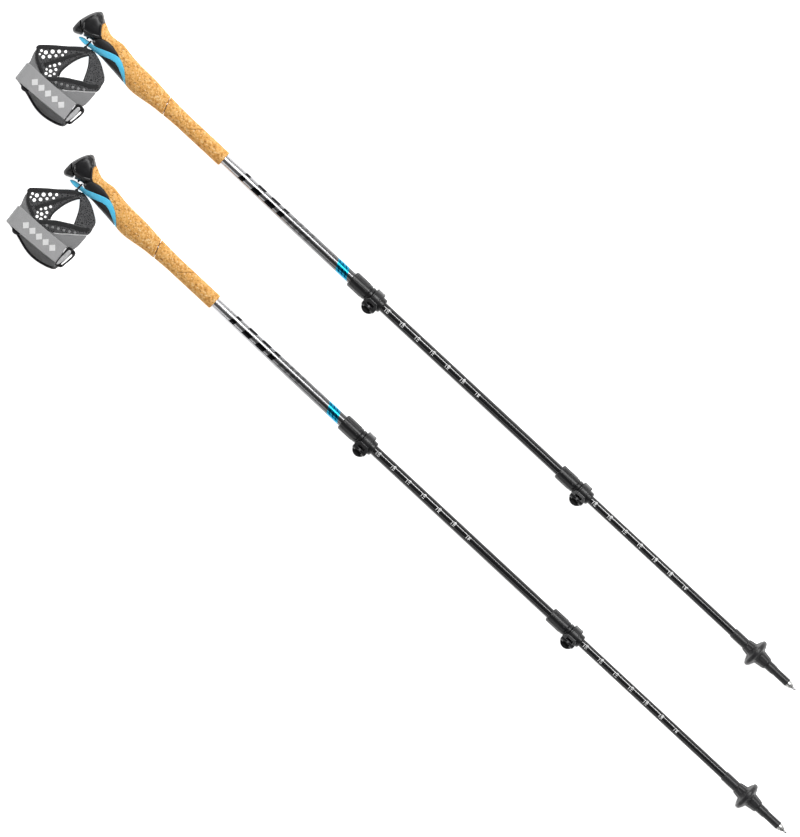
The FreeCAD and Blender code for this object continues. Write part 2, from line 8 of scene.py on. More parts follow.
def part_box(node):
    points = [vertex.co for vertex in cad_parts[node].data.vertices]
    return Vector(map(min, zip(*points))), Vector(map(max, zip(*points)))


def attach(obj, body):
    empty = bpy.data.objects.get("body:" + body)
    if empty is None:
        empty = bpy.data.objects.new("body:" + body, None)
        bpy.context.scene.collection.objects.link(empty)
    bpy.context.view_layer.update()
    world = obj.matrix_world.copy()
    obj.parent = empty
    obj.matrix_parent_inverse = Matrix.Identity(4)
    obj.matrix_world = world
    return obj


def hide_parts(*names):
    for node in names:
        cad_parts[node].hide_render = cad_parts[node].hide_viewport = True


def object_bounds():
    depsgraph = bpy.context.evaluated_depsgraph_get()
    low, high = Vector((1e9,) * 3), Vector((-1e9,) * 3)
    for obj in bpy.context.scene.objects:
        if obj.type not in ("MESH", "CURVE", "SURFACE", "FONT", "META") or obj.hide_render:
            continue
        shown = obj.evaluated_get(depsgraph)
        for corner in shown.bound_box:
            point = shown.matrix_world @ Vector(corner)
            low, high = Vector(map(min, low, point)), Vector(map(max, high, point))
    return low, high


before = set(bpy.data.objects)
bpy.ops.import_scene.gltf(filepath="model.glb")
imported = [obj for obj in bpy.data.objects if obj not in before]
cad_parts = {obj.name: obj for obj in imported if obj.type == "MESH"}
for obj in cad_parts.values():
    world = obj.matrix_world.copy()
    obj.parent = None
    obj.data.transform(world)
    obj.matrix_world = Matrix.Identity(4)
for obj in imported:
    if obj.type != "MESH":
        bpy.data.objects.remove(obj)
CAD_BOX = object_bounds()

# A pair of trekking poles. Shapes are drawn once, in a pole's own frame, in millimetres: x runs from the top of
# the grip (0) to the tip, y is across, with the wrist strap on the -y side, and z is up from the pole's axis.
# Each piece is then placed at both poles, so a shader's Object coordinates are the pole's own, in metres.

MM = 0.001
POLES = ("pole1", "pole2")
UPPER_START = 44.0                  # where the upper tube begins

UPPER_R = 7.75
MIDDLE_R = 6.75
LOWER_R = 5.75
UPPER_LOCK_X = 478.0
LOWER_LOCK_X = 839.0
LOCK_LENGTH = 54.0
COLLAR_LENGTH = 26.5
SLEEVE_END = 255.5
SEAM_X = 155.5                      # where the grip meets the sleeve, on the axis
SEAM_SLOPE = 0.358                  # how far that seam moves along for each step across
GROOVE_X = 199.7                    # the diagonal groove in the sleeve, on the axis
GROOVE_SLOPE = 1.08
BASKET_X = 1179.5
POLE_LENGTH = 1250.0
NECK = Vector((28.6, -9.9, 0))      # where the strap's loop hangs


def pole_origin(pole):
    """The pole's own zero: on its axis, at the top of the grip."""
    low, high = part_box(pole + "_middle_tube")
    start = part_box(pole + "_upper_tube")[0][0]
    return Vector((start - UPPER_START * MM, (low[1] + high[1]) / 2, (low[2] + high[2]) / 2))


ORIGIN = {pole: pole_origin(pole) for pole in POLES}


# ---- shaders -------------------------------------------------------------------------------------------------

class Paint:
    """A procedural material, with a short call for each kind of node used here."""

    def __init__(self, name, shift=None, **sockets):
        self.material = bpy.data.materials.new(name)
        self.material.use_nodes = True
        self.tree = self.material.node_tree
        self.shader = self.tree.nodes["Principled BSDF"]
        for socket, value in sockets.items():
            self.shader.inputs[socket.replace("_", " ")].default_value = value
        self.place = self.tree.nodes.new("ShaderNodeTexCoord").outputs["Object"]
        if shift is not None:
            self.place = self.node("ShaderNodeVectorMath", {0: self.place, 1: shift}, "Vector",
                                   operation="SUBTRACT")

    def node(self, kind, inputs, output, **settings):
        node = self.tree.nodes.new(kind)
        for name, value in settings.items():
            setattr(node, name, value)
        for socket, value in inputs.items():
            if isinstance(value, bpy.types.NodeSocket):
                self.tree.links.new(value, node.inputs[socket])
            else:
                node.inputs[socket].default_value = value
        return node.outputs[output]

    def math(self, operation, a, b=0.0):
        return self.node("ShaderNodeMath", {0: a, 1: b}, "Value", operation=operation)

    def stretched(self, x, y, z):
        return self.node("ShaderNodeVectorMath", {0: self.place, 1: (x, y, z)}, "Vector", operation="MULTIPLY")

    def noise(self, scale, detail=2.0, place=None):
        inputs = {"Vector": place or self.place, "Scale": scale, "Detail": detail}
        return self.node("ShaderNodeTexNoise", inputs, "Fac")

    def cells(self, scale, output="Distance", place=None, **settings):
        inputs = {"Vector": place or self.place, "Scale": scale}
        return self.node("ShaderNodeTexVoronoi", inputs, output, **settings)

    def waves(self, scale, direction, distortion=0.0, place=None):
        return self.node("ShaderNodeTexWave", {"Vector": place or self.place, "Scale": scale,
                                               "Distortion": distortion}, "Fac", bands_direction=direction)

    def axis(self, name):
        return self.node("ShaderNodeSeparateXYZ", {0: self.place}, name)

    def between(self, value, low, high, edge=0.00015):
        """1 where the value is from low to high, with a soft edge, and 0 elsewhere."""
        rise = self.node("ShaderNodeMapRange",
                         {"Value": value, 1: low - edge, 2: low + edge, 3: 0.0, 4: 1.0}, 0)
        fall = self.node("ShaderNodeMapRange",
                         {"Value": value, 1: high - edge, 2: high + edge, 3: 1.0, 4: 0.0}, 0)
        return self.math("MULTIPLY", rise, fall)

    def mix(self, share, a, b):
        return self.node("ShaderNodeMix", {0: share, 6: opaque(a), 7: opaque(b)}, 2, data_type="RGBA")

    def ramp(self, value, stops, interpolation="LINEAR"):
        node = self.tree.nodes.new("ShaderNodeValToRGB")
        node.color_ramp.interpolation = interpolation
        while len(node.color_ramp.elements) < len(stops):
            node.color_ramp.elements.new(0.5)
        for element, (position, color) in zip(node.color_ramp.elements, stops):
            element.position = position
            element.color = opaque(color)
        self.tree.links.new(value, node.inputs[0])
        return node.outputs[0]

    def color(self, value):
        self.tree.links.new(value, self.shader.inputs["Base Color"])

    def roughness(self, value, low, high):
        spread = self.node("ShaderNodeMapRange", {"Value": value, 3: low, 4: high}, 0)
        self.tree.links.new(spread, self.shader.inputs["Roughness"])

    def bump(self, height, depth, strength=1.0):
        """Relief of that depth in millimetres, on top of any relief already there."""
        node = self.tree.nodes.new("ShaderNodeBump")
        node.inputs["Strength"].default_value = strength
        node.inputs["Distance"].default_value = depth * MM
        self.tree.links.new(height, node.inputs["Height"])
        normal = self.shader.inputs["Normal"]
        if normal.is_linked:
            self.tree.links.new(normal.links[0].from_socket, node.inputs["Normal"])
        self.tree.links.new(node.outputs[0], normal)


def opaque(color):
    return color if isinstance(color, bpy.types.NodeSocket) else (*color, 1.0)


def moulded(name, dark, light, roughness, grain=0.03, grain_scale=2600, **sockets):
    """Moulded plastic: fine grain, cloudy colour and polish that varies."""
    paint = Paint(name, **sockets)
    paint.color(paint.mix(paint.noise(90, 4), dark, light))
    paint.roughness(paint.noise(160, 5), roughness - 0.07, roughness + 0.09)
    paint.bump(paint.cells(grain_scale), grain, 0.6)
    paint.bump(paint.noise(420, 3), 0.05, 0.35)
    return paint.material


def turned_metal(name, dark, light, roughness, scale=3500):
    """Bright metal with fine turning lines round the x axis."""
    paint = Paint(name, Metallic=1.0)
    lines = paint.noise(1.0, 3, paint.stretched(scale, 40, 40))
    paint.color(paint.mix(lines, dark, light))
    paint.roughness(paint.noise(300, 4), roughness - 0.06, roughness + 0.12)
    paint.bump(lines, 0.01, 0.4)
    return paint.material


def cork_paint():
    paint = Paint("cork_granules", Roughness=0.8, Specular_IOR_Level=0.25)
    warped = paint.node("ShaderNodeVectorMath", {0: paint.place, 1: paint.node(
        "ShaderNodeVectorMath", {0: paint.node("ShaderNodeTexNoise", {"Vector": paint.place, "Scale": 500.0}, "Color"),
                                 1: (0.0012, 0.0012, 0.0012)}, "Vector", operation="MULTIPLY")}, "Vector",
        operation="ADD")
    granule = paint.node("ShaderNodeSeparateColor", {0: paint.cells(560, "Color", warped)}, "Red")
    color = paint.ramp(granule, [(0.0, (0.34, 0.14, 0.035)), (0.06, (0.55, 0.25, 0.06)), (0.3, (0.72, 0.36, 0.09)),
                                 (0.62, (0.80, 0.43, 0.125)), (0.86, (0.86, 0.52, 0.19)), (1.0, (0.90, 0.63, 0.32))])
    chips = paint.node("ShaderNodeSeparateColor", {0: paint.cells(1250, "Color", warped)}, "Green")
    fleck = paint.ramp(chips, [(0.0, (1, 1, 1)), (0.03, (1, 1, 1)), (0.06, (0, 0, 0))])
    color = paint.mix(paint.math("MULTIPLY", fleck, 0.7), color, (0.28, 0.12, 0.035))
    seams = paint.ramp(paint.cells(560, "Distance", warped, feature="DISTANCE_TO_EDGE"),
                       [(0.0, (0.78, 0.70, 0.60)), (0.09, (1, 1, 1))])
    color = paint.node("ShaderNodeMix", {0: 0.8, 6: color, 7: seams}, 2,
                       data_type="RGBA", blend_type="MULTIPLY")
    x, y, z = (paint.axis(name) for name in "XYZ")
    seam = paint.math("ADD", x, paint.math("MULTIPLY", y, SEAM_SLOPE))
    seam = paint.between(seam, (SEAM_X - 0.3) * MM, (SEAM_X + 0.3) * MM, 0.0003)
    groove = paint.math("ADD", x, paint.math("MULTIPLY", y, -GROOVE_SLOPE))
    groove = paint.between(groove, (GROOVE_X - 0.5) * MM, (GROOVE_X + 0.5) * MM, 0.0004)
    groove = paint.math("MULTIPLY", groove, paint.math("MULTIPLY", paint.math("GREATER_THAN", z, 0.0),
                                                       paint.math("GREATER_THAN", y, -5.0 * MM)))
    # Painted shade: the seam and the diagonal groove are darkened to deep brown in the colour, standing in for the
    # shade in these recesses on top of their real relief
    seam_and_groove_shade = paint.math("MULTIPLY", paint.math("MAXIMUM", seam, groove), 0.75)
    color = paint.mix(seam_and_groove_shade, color, (0.16, 0.07, 0.02))
    paint.color(color)
    paint.roughness(paint.noise(900, 3), 0.62, 0.92)
    paint.bump(paint.cells(560, "Distance", warped, feature="DISTANCE_TO_EDGE"), 0.25, 0.7)
    paint.bump(paint.noise(2400, 4), 0.12, 0.5)
    return paint.material


def around(paint):
    """The distance round the tube from its top line towards +y, in metres, for the upper tube."""
    angle = paint.node("ShaderNodeMath", {0: paint.axis("Y"), 1: paint.axis("Z")}, "Value", operation="ARCTAN2")
    return paint.math("MULTIPLY", angle, UPPER_R * MM)


# Dark printed dashes on the upper tube: where each begins, and its length along the tube
DASHES = ((286.0, 8.0), (308.0, 13.0), (331.0, 14.0), (352.0, 9.0))
FAINT_DASHES = ((370.0, 5.0), (380.0, 5.0), (390.0, 5.0), (400.0, 5.0))
CYAN_BAND = (452.2, 470.9)
BAND_LEAN = 0.45                    # how far the band's ends lean for each step round the tube


def upper_tube_paint(pole):
    paint = Paint(pole + "_silver_to_graphite", shift=ORIGIN[pole], Metallic=1.0)
    x = paint.axis("X")
    way = paint.node("ShaderNodeMapRange", {"Value": x, 1: SLEEVE_END * MM, 2: UPPER_LOCK_X * MM}, 0)
    streaks = paint.noise(1.0, 4, paint.stretched(60, 2600, 2600))
    color = paint.ramp(way, [(0.0, (0.52, 0.515, 0.53)), (0.25, (0.36, 0.36, 0.37)), (0.55, (0.17, 0.17, 0.175)),
                             (1.0, (0.075, 0.074, 0.078))])
    color = paint.mix(paint.math("MULTIPLY", streaks, 0.18), color, (0.9, 0.9, 0.9))
    arc = around(paint)
    lean = paint.math("ADD", x, paint.math("MULTIPLY", arc, -0.35))
    printed = 0.0
    for start, length in DASHES + FAINT_DASHES:
        dash = paint.between(lean, start * MM, (start + length) * MM)
        dash = paint.math("MULTIPLY", dash, 1.0 if (start, length) in DASHES else 0.45)
        printed = paint.math("MAXIMUM", dash, printed)
    stripe = paint.math("MAXIMUM", paint.between(arc, -6.2 * MM, 0.8 * MM),
                        paint.between(arc, 4.6 * MM, 9.5 * MM))
    printed = paint.math("MULTIPLY", printed, stripe)
    color = paint.mix(printed, color, (0.012, 0.012, 0.014))
    leaning = paint.math("ADD", x, paint.math("MULTIPLY", arc, BAND_LEAN))
    band = paint.between(leaning, CYAN_BAND[0] * MM, CYAN_BAND[1] * MM)
    tilt = paint.math("ADD", x, paint.math("MULTIPLY", arc, 0.55))
    slits = paint.math("FRACT", paint.math("MULTIPLY", tilt, 1 / (5.4 * MM)))
    slits = paint.between(slits, 0.28, 0.62, 0.04)
    sides = paint.math("MAXIMUM", paint.between(arc, -7.0 * MM, 0.4 * MM),
                       paint.between(arc, 4.4 * MM, 8.6 * MM))
    ends = paint.between(leaning, (CYAN_BAND[0] + 2.0) * MM, (CYAN_BAND[1] - 1.6) * MM)
    slits = paint.math("MULTIPLY", slits, paint.math("MULTIPLY", sides, ends))
    cyan = paint.mix(slits, (0.015, 0.30, 0.48), (0.0, 0.05, 0.14))
    paint.color(paint.mix(band, color, cyan))
    paint.roughness(paint.noise(1.0, 4, paint.stretched(90, 1800, 1800)), 0.2, 0.36)
    paint.bump(streaks, 0.006, 0.3)
    return paint.material


def black_tube_paint():
    paint = Paint("gloss_black_anodised", Specular_IOR_Level=0.42, Coat_Weight=0.25, Coat_Roughness=0.08)
    rubbed = paint.noise(1.0, 5, paint.stretched(30, 1500, 1500))
    paint.color(paint.ramp(rubbed, [(0.0, (0.004, 0.004, 0.005)), (0.72, (0.009, 0.009, 0.010)),
                                    (1.0, (0.03, 0.03, 0.032))]))
    paint.roughness(rubbed, 0.14, 0.30)
    paint.bump(rubbed, 0.004, 0.3)
    return paint.material


def webbing(name, dark, light, pitch=0.9, direction="X", across="Y"):
    """Woven strap: ribs of yarn across the strap, with the weave's crossings between them."""
    paint = Paint(name, Roughness=0.75, Sheen_Weight=0.3, Specular_IOR_Level=0.3)
    ribs = paint.waves(0.314 / (pitch * MM), direction, 1.2)
    yarn = paint.waves(0.314 / (pitch * 0.55 * MM), across, 2.0)
    weave = paint.math("MULTIPLY", ribs, yarn)
    cloudy = paint.noise(140, 5)
    shade = paint.mix(weave, dark, light)
    paint.color(paint.mix(paint.math("MULTIPLY", cloudy, 0.35), shade, dark))
    paint.roughness(cloudy, 0.6, 0.85)
    paint.bump(weave, 0.16, 0.8)
    paint.bump(paint.noise(2600, 3), 0.05, 0.5)
    return paint.material


def knit(name, dark, light, scale=620):
    """Spacer mesh: small open cells with a knitted wall between them."""
    paint = Paint(name, Roughness=0.8, Sheen_Weight=0.2, Specular_IOR_Level=0.3)
    cell = paint.cells(scale, "Distance", feature="DISTANCE_TO_EDGE")
    wall = paint.ramp(cell, [(0.0, (1, 1, 1)), (0.10, (0.75, 0.75, 0.75)), (0.28, (0.08, 0.08, 0.08)),
                             (1.0, (0, 0, 0))])
    thread = paint.noise(1900, 4)
    paint.color(paint.mix(paint.math("MULTIPLY", wall, thread), dark, light))
    paint.roughness(thread, 0.6, 0.95)
    paint.bump(wall, 0.35, 0.8)
    paint.bump(thread, 0.08, 0.5)
    return paint.material


def print_paint():
    paint = Paint("white_print", Roughness=0.45)
    worn = paint.noise(900, 5)
    paint.color(paint.ramp(worn, [(0.0, (0.62, 0.62, 0.62)), (0.4, (0.93, 0.93, 0.93)), (1.0, (0.97, 0.97, 0.97))]))
    paint.roughness(worn, 0.35, 0.6)
    paint.bump(worn, 0.01, 0.4)
    return paint.material


def tip_paint(pole):
    """Black moulded tip whose last centimetre is a bare metal holder."""
    paint = Paint(pole + "_tip_plastic", shift=ORIGIN[pole], Specular_IOR_Level=0.4)
    holder = paint.between(paint.axis("X"), (POLE_LENGTH - 13.4) * MM, (POLE_LENGTH + 5) * MM)
    cloudy = paint.noise(200, 4)
    plastic = paint.mix(cloudy, (0.012, 0.012, 0.013), (0.028, 0.028, 0.03))
    paint.color(paint.mix(holder, plastic, (0.58, 0.58, 0.57)))
    paint.tree.links.new(paint.math("MULTIPLY", holder, 0.9), paint.shader.inputs["Metallic"])
    paint.roughness(cloudy, 0.26, 0.46)
    paint.bump(paint.cells(2400), 0.03, 0.5)
    paint.bump(paint.waves(0.314 / (1.1 * MM), "X"), 0.02, 0.25)
    return paint.material


HEAD = moulded("satin_black_plastic", (0.007, 0.007, 0.008), (0.013, 0.013, 0.014), 0.34, Specular_IOR_Level=0.4)
CORE = moulded("grained_black_plastic", (0.006, 0.006, 0.007), (0.012, 0.012, 0.013), 0.44, 0.06, 1500,
               Specular_IOR_Level=0.4)
BLUE = moulded("light_blue_plastic", (0.085, 0.56, 0.86), (0.12, 0.64, 0.92), 0.36, 0.012, 3000,
               Specular_IOR_Level=0.45)
CORK = cork_paint()
BLACK_TUBE = black_tube_paint()
LOCK = moulded("glass_filled_nylon", (0.006, 0.006, 0.007), (0.013, 0.013, 0.014), 0.32, 0.05, 1900,
               Specular_IOR_Level=0.45)
LEVER = moulded("satin_lever_plastic", (0.007, 0.007, 0.008), (0.014, 0.014, 0.015), 0.34, 0.02, 2600,
                Specular_IOR_Level=0.5)
BUSH = moulded("acetal_guide", (0.06, 0.06, 0.06), (0.09, 0.09, 0.09), 0.5)
BASKET = moulded("flexible_basket_plastic", (0.010, 0.010, 0.011), (0.022, 0.021, 0.023), 0.38, 0.03, 2000,
                 Specular_IOR_Level=0.45)
STEEL = turned_metal("bright_steel", (0.55, 0.55, 0.56), (0.82, 0.82, 0.83), 0.24)
SPRING_STEEL = turned_metal("spring_steel", (0.38, 0.38, 0.39), (0.62, 0.62, 0.62), 0.32)
BLACKENED = turned_metal("blackened_steel", (0.012, 0.012, 0.013), (0.035, 0.035, 0.037), 0.38)
CARBIDE = turned_metal("sintered_carbide", (0.33, 0.33, 0.34), (0.60, 0.60, 0.60), 0.34, 2200)
SILVER = moulded("silver_lacquer", (0.60, 0.60, 0.61), (0.78, 0.78, 0.79), 0.26, 0.01, 2600, Metallic=0.35)
PRINT = print_paint()
GREY_WEB = webbing("light_grey_webbing", (0.32, 0.32, 0.325), (0.60, 0.60, 0.605))
PALE_WEB = webbing("pale_woven_figure", (0.74, 0.74, 0.74), (0.95, 0.95, 0.95))
DARK_WEB = webbing("black_webbing", (0.006, 0.006, 0.007), (0.028, 0.028, 0.03))
FELT = webbing("grey_brushed_lining", (0.24, 0.24, 0.245), (0.42, 0.42, 0.425), 0.5)
BORDER = webbing("black_bound_edge", (0.010, 0.010, 0.011), (0.050, 0.050, 0.053), 0.45)
MESH = knit("black_spacer_mesh", (0.002, 0.002, 0.003), (0.20, 0.20, 0.205), 420)
CORD = webbing("braided_cord", (0.008, 0.008, 0.009), (0.05, 0.05, 0.052), 0.7, "DIAGONAL", "Z")


# ---- mesh making ---------------------------------------------------------------------------------------------

def modified(mesh, modifiers):
    """The mesh with the modifiers applied, given as (kind, settings)."""
    work = bpy.data.objects.new("work", mesh)
    bpy.context.scene.collection.objects.link(work)
    for kind, settings in modifiers:
        modifier = work.modifiers.new(kind, kind)
        for name, value in settings.items():
            setattr(modifier, name, value)
    result = bpy.data.meshes.new_from_object(work.evaluated_get(bpy.context.evaluated_depsgraph_get()))
    bpy.data.objects.remove(work)
    return result


def remeshed(mesh, voxel, smoothing):
    """A closed, evenly meshed copy with softened edges. The voxel is in millimetres."""
    return modified(mesh, [("REMESH", {"mode": "VOXEL", "voxel_size": voxel * MM, "use_smooth_shade": True}),
                           ("SMOOTH", {"factor": 0.5, "iterations": smoothing})])


def cad_copy(node):
    """A welded copy of the first pole's CAD node, in the pole's own frame."""
    work = bmesh.new()
    work.from_mesh(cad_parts["pole1_" + node].data)
    bmesh.ops.remove_doubles(work, verts=work.verts, dist=0.01 * MM)
    bmesh.ops.transform(work, matrix=Matrix.Translation(-ORIGIN["pole1"]), verts=work.verts)
    mesh = bpy.data.meshes.new(node)
    work.to_mesh(mesh)
    work.free()
    return mesh


def relief(mesh, height):
    """Moves each vertex along its normal by height(point, normal), all in millimetres."""
    normals = [v.normal.copy() for v in mesh.vertices]
    moves = [height(v.co / MM, normal) for v, normal in zip(mesh.vertices, normals)]
    for vertex, normal, move in zip(mesh.vertices, normals, moves):
        vertex.co += normal * move * MM
    return mesh


def smooth_line(points, steps, closed=False):
    """Points along a smooth curve through the given ones."""
    points = [Vector((*p, 0.0)[:3]) for p in points]
    count = len(points)
    line = []
    for i in range(count if closed else count - 1):
        if closed:
            a, b, c, d = (points[(i + k) % count] for k in (-1, 0, 1, 2))
        else:
            a, b, c, d = (points[min(max(i + k, 0), count - 1)] for k in (-1, 0, 1, 2))
        for step in range(steps):
            t = step / steps
            line.append(b + (c - a) * t / 2 + (a - 2.5 * b + 2 * c - d / 2) * t**2
                        + (1.5 * b - a / 2 - 1.5 * c + d / 2) * t**3)
    return line if closed else line + [points[-1]]


def circle(x, y, radius, sides=20):
    return [(x + radius * math.cos(2 * math.pi * i / sides), y + radius * math.sin(2 * math.pi * i / sides), 0.0)
            for i in range(sides)]


def curve_mesh(loops, cyclic, **settings):
    curve = bpy.data.curves.new("curve", "CURVE")
    for name, value in settings.items():
        setattr(curve, name, value)
    for loop in loops:
        spline = curve.splines.new("POLY")
        spline.points.add(len(loop) - 1)
        for point, place in zip(spline.points, loop):
            point.co = (place[0] * MM, place[1] * MM, place[2] * MM, 1.0)
        spline.use_cyclic_u = cyclic
    return modified(curve, [])


def panel(outline, z, thickness, holes=(), voxel=0.6, smoothing=4, lift=None, corners=False):
    """A soft panel with rounded edges and real holes, at height z, raised by lift(x, y)."""
    edge = [(*p, 0.0) for p in outline] if corners else smooth_line(outline, 5, closed=True)
    flat = curve_mesh([edge, *holes], True, dimensions="2D", fill_mode="BOTH", extrude=thickness / 2 * MM)
    mesh = remeshed(flat, voxel, smoothing)
    for vertex in mesh.vertices:
        x, y = vertex.co.x / MM, vertex.co.y / MM
        vertex.co.z += (z + (lift(x, y) if lift else 0.0)) * MM
    return mesh


def rail(points, radius, closed=False, steps=6, lift=None):
    """A round bead along a smooth line."""
    line = smooth_line(points, steps, closed)
    if lift:
        line = [Vector((p.x, p.y, p.z + lift(p.x, p.y))) for p in line]
    return curve_mesh([line], closed, dimensions="3D", bevel_depth=radius * MM, bevel_resolution=3,
                      use_fill_caps=True)


def ribbon(edge_a, edge_b, thickness, rows=8, steps=6, crown=0.0):
    """A strap between two edge lines, with rounded edges. crown bulges its middle."""
    work = bmesh.new()
    grid = []
    for a, b in zip(smooth_line(edge_a, steps), smooth_line(edge_b, steps)):
        row = []
        for k in range(rows + 1):
            share = k / rows
            point = a.lerp(b, share)
            point.z += crown * math.sin(math.pi * share)
            row.append(work.verts.new(point * MM))
        grid.append(row)
    for near, far in zip(grid, grid[1:]):
        for k in range(rows):
            work.faces.new((near[k], near[k + 1], far[k + 1], far[k]))
    mesh = bpy.data.meshes.new("ribbon")
    work.to_mesh(mesh)
    work.free()
    return modified(mesh, [("SOLIDIFY", {"thickness": thickness * MM, "offset": 0.0}),
                           ("BEVEL", {"width": thickness * 0.35 * MM, "segments": 2, "limit_method": "ANGLE"}),
                           ("SUBSURF", {"levels": 1})])


def joined(meshes):
    """One mesh from several."""
    work = bmesh.new()
    for mesh in meshes:
        work.from_mesh(mesh)
    result = bpy.data.meshes.new("joined")
    work.to_mesh(result)
    work.free()
    return result


def add(name, mesh, body, material, stands_for=()):
    """Places a piece at both poles, riding on that body, and returns the two objects."""
    mesh.name = name
    mesh.materials.clear()
    mesh.materials.append(material)
    mesh.shade_smooth()
    made = []
    for pole in POLES:
        piece = bpy.data.objects.new(pole + "_v_" + name, mesh)
        bpy.context.scene.collection.objects.link(piece)
        piece.location = ORIGIN[pole]
        bpy.context.view_layer.update()
        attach(piece, pole + "_" + body)
        if stands_for:
            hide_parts(*(pole + "_" + node for node in stands_for))
        made.append(piece)
    return made


def finish_nodes(material, *nodes):
    """Gives CAD nodes of both poles a material. It is one material, or a function of the pole."""
    for pole in POLES:
        for node in nodes:
            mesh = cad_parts[pole + "_" + node].data
            mesh.materials.clear()
            mesh.materials.append(material if isinstance(material, bpy.types.Material) else material(pole))


def within(value, low, high, edge):
    """1 from low to high, falling to 0 over the edge outside."""
    return min(max((value - low) / edge + 1, 0.0), 1.0) * min(max((high - value) / edge + 1, 0.0), 1.0)


def distance_inside(x, y, outline):
    """How far a point is inside a closed outline, or outside it if negative."""
    inside = False
    nearest = 1e9
    for (x0, y0), (x1, y1) in zip(outline, outline[1:] + outline[:1]):
        if (y0 > y) != (y1 > y) and x < (x1 - x0) * (y - y0) / (y1 - y0) + x0:
            inside = not inside
        dx, dy = x1 - x0, y1 - y0
        t = min(max(((x - x0) * dx + (y - y0) * dy) / (dx * dx + dy * dy), 0.0), 1.0)
        nearest = min(nearest, math.hypot(x - x0 - t * dx, y - y0 - t * dy))
    return nearest if inside else -nearest


# ---- grip ----------------------------------------------------------------------------------------------------

HEAD_PANEL = [(6.0, 6.5), (8.0, 16.5), (12.6, 26.8), (17.8, 27.2), (23.0, 22.6), (23.6, 18.6), (28.6, 12.2),
              (33.0, 6.6), (22.0, 0.8), (13.0, -0.6)]


def head_relief(point, normal):
    """A sunk side panel inside a raised rim."""
    if abs(normal.z) < 0.45:
        return 0.0
    depth = distance_inside(point.x, point.y, HEAD_PANEL)
    rim = 0.5 * math.exp(-((depth + 0.7) / 0.8) ** 2)
    return rim - 0.6 * within(depth, 0.6, 99.0, 1.2)


def granules(point, normal):
    near, far = noise.voronoi(point / 2.3)[0][:2]
    return 0.10 * min((far - near) * 3.0, 1.0) - 0.10 + 0.05 * noise.noise(point * 1.3)


def cork_relief(point, normal):
    """Cork granules, with the seam between the two corks and the diagonal groove across the sleeve's top."""
    from_seam = point.x + SEAM_SLOPE * point.y - SEAM_X
    from_groove = point.x - GROOVE_SLOPE * point.y - GROOVE_X
    seam = -0.45 * math.exp(-(from_seam / 0.7) ** 2)
    groove = 0.0
    if normal.z > 0:
        groove = -0.8 * math.exp(-(from_groove / 1.2) ** 2) * within(point.y, -4.0, 99.0, 3.0)
    return granules(point, normal) + seam + groove


def leather(point, normal):
    return 0.06 * noise.noise(point * 0.9)


add("head", relief(remeshed(cad_copy("head_shell"), 0.55, 3), head_relief), "frame", HEAD,
    ["head_shell"])
add("nose", relief(remeshed(cad_copy("release_button"), 0.5, 4), leather), "button", HEAD,
    ["release_button"])
add("hook", remeshed(cad_copy("hook"), 0.5, 4), "frame", BLUE, ["hook"])
add("core", relief(remeshed(cad_copy("grip_core"), 0.55, 4), leather), "frame", CORE, ["grip_core"])
add("cork_grip", relief(remeshed(cad_copy("cork_grip"), 0.6, 2), cork_relief), "frame", CORK, ["cork_grip"])
add("cork_sleeve", relief(remeshed(cad_copy("cork_sleeve"), 0.6, 2), cork_relief), "frame", CORK,
    ["cork_sleeve"])

finish_nodes(STEEL, "latch_pin", "upper_lock_screw", "lower_lock_screw")
finish_nodes(SPRING_STEEL, "latch_spring")
finish_nodes(BLACKENED, "latch", "upper_lock_barrel", "lower_lock_barrel")
finish_nodes(upper_tube_paint, "upper_tube")
finish_nodes(BLACK_TUBE, "middle_tube", "lower_tube")
finish_nodes(BUSH, "middle_bush", "lower_bush")
finish_nodes(tip_paint, "tip_body")
finish_nodes(CARBIDE, "carbide_tip")


# ---- locks ---------------------------------------------------------------------------------------------------

def lock_body_relief(lock_x):
    def height(point, normal):
        along = point.x - lock_x
        radius = math.hypot(point.y, point.z)
        if normal.x ** 2 > 0.5 or radius < 7.6:
            return 0.0
        angle = math.degrees(math.atan2(point.y, point.z))
        ridge = max(math.cos(math.radians(angle * 9)), 0.0) ** 8
        collar = within(along, 2.0, COLLAR_LENGTH - 3.5, 0.8)
        return 0.6 * ridge * collar
    return height


def lever_relief(lock_x):
    def height(point, normal):
        along = point.x - lock_x
        if abs(normal.x) > 0.6:
            return 0.0
        rims = within(along, 34.2, 35.6, 0.5) + within(along, 45.8, 47.2, 0.5)
        return 0.5 * rims - 0.3 * within(along, 37.2, 44.2, 0.8) if point.z > 2 or point.y > 2 else 0.0
    return height


for level, lock_x, carrier in (("upper", UPPER_LOCK_X, "frame"), ("lower", LOWER_LOCK_X, "middle_section")):
    add(level + "_lock", relief(remeshed(cad_copy(level + "_lock_body"), 0.4, 3), lock_body_relief(lock_x)),
        carrier, LOCK, [level + "_lock_body"])
    add(level + "_lever", relief(remeshed(cad_copy(level + "_lock_lever"), 0.38, 3), lever_relief(lock_x)),
        level + "_lever", LEVER, [level + "_lock_lever"])


# ---- length marks --------------------------------------------------------------------------------------------
MARK_PITCH = 26.2
MARK_COUNT = 7
FIRST_MARK = 5.1                    # from the end of the lock
LONGEST = 125                       # the length in centimetres at the first mark
LINE_ARC = 1.9                      # the printed line's distance round the tube from its top
PRINT_THICK = 0.03


def wrapped(mesh, x0, radius, arc0=0.0, widen=1.0):
    """Bends a flat figure round the tube, with its top towards the grip."""
    for vertex in mesh.vertices:
        u, v, w = vertex.co / MM
        angle = (arc0 + u * widen) / radius
        r = radius + 0.02 + PRINT_THICK / 2 + w
        vertex.co = Vector((x0 - v, r * math.sin(angle), r * math.cos(angle))) * MM
    return mesh


